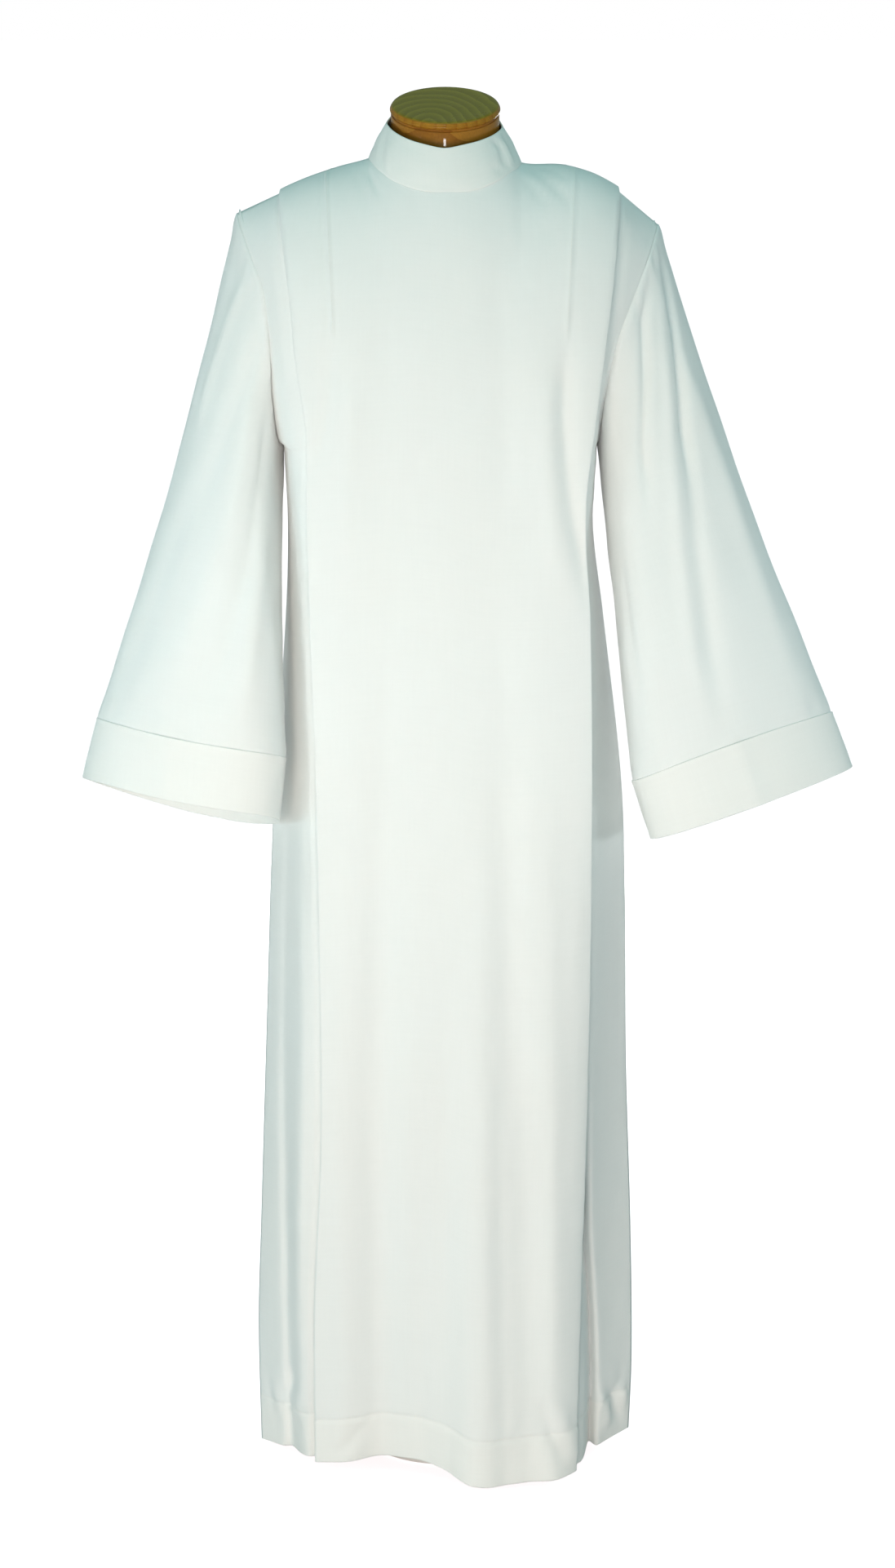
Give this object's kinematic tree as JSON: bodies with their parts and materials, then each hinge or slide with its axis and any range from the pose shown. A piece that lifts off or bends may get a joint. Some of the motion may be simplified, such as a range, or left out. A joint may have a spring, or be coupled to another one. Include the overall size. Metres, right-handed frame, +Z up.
{
  "type": "alb on a dress form",
  "caption": "Long off-white liturgical alb with a standing collar, stitched front pleats and wide cuffed sleeves, on a wooden-necked dress form.",
  "frame": {"origin": "on the underside of the round base, straight below the middle of the form's neck", "axes": "+Z up; -Y is the wearer's front, so +X is the wearer's left and the viewer's right"},
  "size_m": [0.8678, 0.2947, 1.5692],
  "materials": {
    "alb_cloth": "matte",
    "form_cover": "matte",
    "neck_wood": "satin",
    "stand_steel": "satin"
  },
  "bodies": {
    "root": {"front": "alb_cloth", "back_left": "alb_cloth", "back_right": "alb_cloth", "sleeve_left": "alb_cloth", "sleeve_right": "alb_cloth", "cuff_left": "alb_cloth", "cuff_right": "alb_cloth", "collar": "alb_cloth", "form_torso": "form_cover", "neck_block": "neck_wood", "neck_cap": "neck_wood", "form_pole": "stand_steel", "form_base": "stand_steel"}
  },
  "joints": []
}
